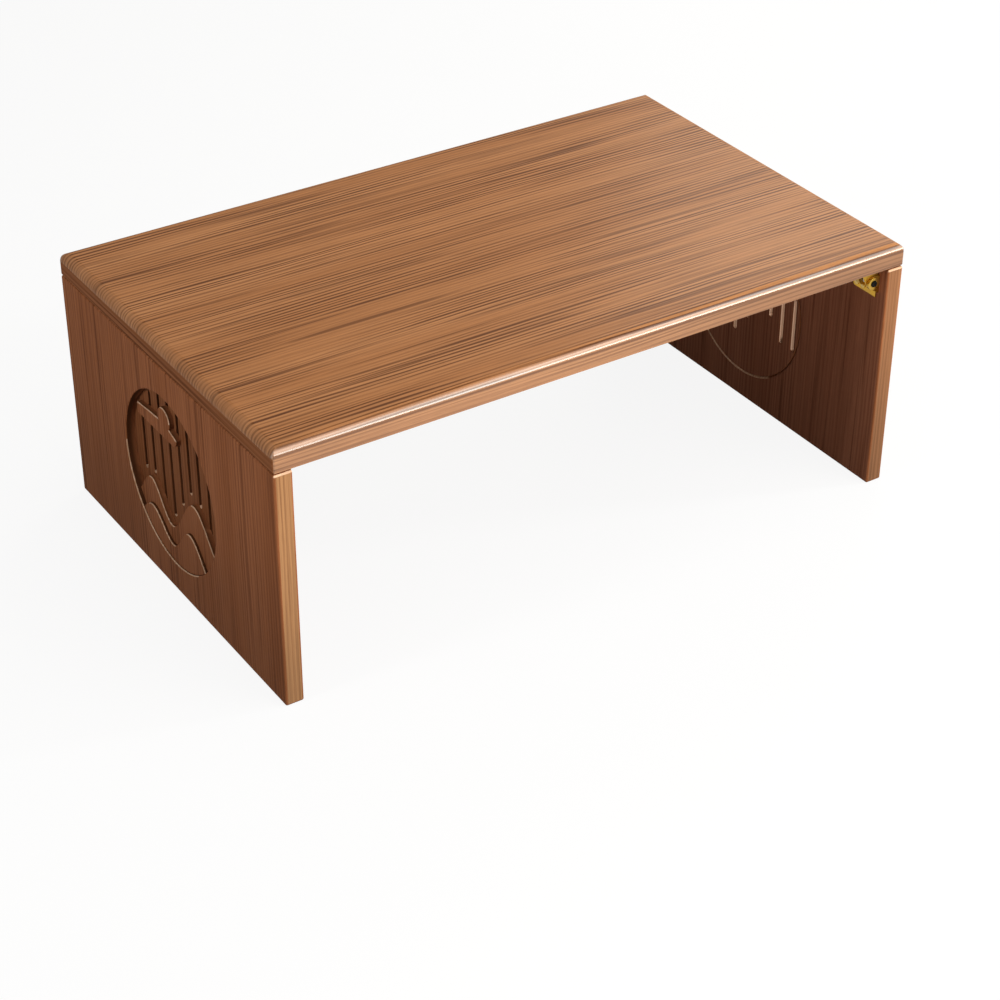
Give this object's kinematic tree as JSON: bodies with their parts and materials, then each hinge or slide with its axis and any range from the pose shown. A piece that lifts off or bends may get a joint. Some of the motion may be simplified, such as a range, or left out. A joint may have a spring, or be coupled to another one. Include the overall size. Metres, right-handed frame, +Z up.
{
  "type": "folding floor table",
  "caption": "Low rectangular board-top table on two full-width board legs with carved round panels; the legs fold inwards under the top on locking hinges.",
  "frame": {"origin": "on the floor, under the middle of the top", "axes": "+X along the table's length to the right, -Y to the front, +Z up"},
  "size_m": [0.9, 0.55, 0.35],
  "materials": {
    "top_wood": "clear satin lacquer over brown-stained wood, grain along the length",
    "leg_wood": "clear satin lacquer over brown-stained wood, upright grain",
    "carved_wood": "carved, stained and satin lacquered",
    "hinge_steel": "stamped steel with yellow zinc plating",
    "bush_steel": "turned steel with yellow zinc plating",
    "button_steel": "dark turned steel",
    "spring_steel": "bright spring wire",
    "screw_steel": "yellow zinc plated pan-head screws"
  },
  "bodies": {
    "top": {"top_board": "top_wood", "left_front_top_leaf": "hinge_steel", "left_front_top_screw_1": "screw_steel", "left_front_top_screw_2": "screw_steel", "left_front_top_screw_3": "screw_steel", "left_rear_top_leaf": "hinge_steel", "left_rear_top_screw_1": "screw_steel", "left_rear_top_screw_2": "screw_steel", "left_rear_top_screw_3": "screw_steel", "right_front_top_leaf": "hinge_steel", "right_front_top_screw_1": "screw_steel", "right_front_top_screw_2": "screw_steel", "right_front_top_screw_3": "screw_steel", "right_rear_top_leaf": "hinge_steel", "right_rear_top_screw_1": "screw_steel", "right_rear_top_screw_2": "screw_steel", "right_rear_top_screw_3": "screw_steel"},
    "left_leg": {"left_leg_panel": "leg_wood", "left_carved_disc": "carved_wood", "left_front_leg_leaf": "hinge_steel", "left_front_outer_bush": "bush_steel", "left_front_inner_bush": "bush_steel", "left_front_button_spring": "spring_steel", "left_front_leg_screw_1": "screw_steel", "left_front_leg_screw_2": "screw_steel", "left_front_leg_screw_3": "screw_steel", "left_rear_leg_leaf": "hinge_steel", "left_rear_outer_bush": "bush_steel", "left_rear_inner_bush": "bush_steel", "left_rear_button_spring": "spring_steel", "left_rear_leg_screw_1": "screw_steel", "left_rear_leg_screw_2": "screw_steel", "left_rear_leg_screw_3": "screw_steel"},
    "right_leg": {"right_leg_panel": "leg_wood", "right_carved_disc": "carved_wood", "right_front_leg_leaf": "hinge_steel", "right_front_outer_bush": "bush_steel", "right_front_inner_bush": "bush_steel", "right_front_button_spring": "spring_steel", "right_front_leg_screw_1": "screw_steel", "right_front_leg_screw_2": "screw_steel", "right_front_leg_screw_3": "screw_steel", "right_rear_leg_leaf": "hinge_steel", "right_rear_outer_bush": "bush_steel", "right_rear_inner_bush": "bush_steel", "right_rear_button_spring": "spring_steel", "right_rear_leg_screw_1": "screw_steel", "right_rear_leg_screw_2": "screw_steel", "right_rear_leg_screw_3": "screw_steel"},
    "left_front_button": {"left_front_lock_button": "button_steel"},
    "left_rear_button": {"left_rear_lock_button": "button_steel"},
    "right_front_button": {"right_front_lock_button": "button_steel"},
    "right_rear_button": {"right_rear_lock_button": "button_steel"}
  },
  "joints": [
    {"name": "left_leg_fold", "type": "hinge", "parent": "top", "child": "left_leg", "pos_m": [-0.415, 0, 0.297], "axis": [0, -1, 0], "range_deg": [0, 90]},
    {"name": "right_leg_fold", "type": "hinge", "parent": "top", "child": "right_leg", "pos_m": [0.415, 0, 0.297], "axis": [0, 1, 0], "range_deg": [0, 90]},
    {"name": "left_front_button_press", "type": "slide", "parent": "left_leg", "child": "left_front_button", "axis": [0, 1, 0], "range_m": [0, 0.003], "stiffness_N_per_m": 900, "springref_m": -0.002, "deforming": ["left_front_button_spring"]},
    {"name": "left_rear_button_press", "type": "slide", "parent": "left_leg", "child": "left_rear_button", "axis": [0, -1, 0], "range_m": [0, 0.003], "stiffness_N_per_m": 900, "springref_m": -0.002, "deforming": ["left_rear_button_spring"]},
    {"name": "right_front_button_press", "type": "slide", "parent": "right_leg", "child": "right_front_button", "axis": [0, 1, 0], "range_m": [0, 0.003], "stiffness_N_per_m": 900, "springref_m": -0.002, "deforming": ["right_front_button_spring"]},
    {"name": "right_rear_button_press", "type": "slide", "parent": "right_leg", "child": "right_rear_button", "axis": [0, -1, 0], "range_m": [0, 0.003], "stiffness_N_per_m": 900, "springref_m": -0.002, "deforming": ["right_rear_button_spring"]}
  ]
}
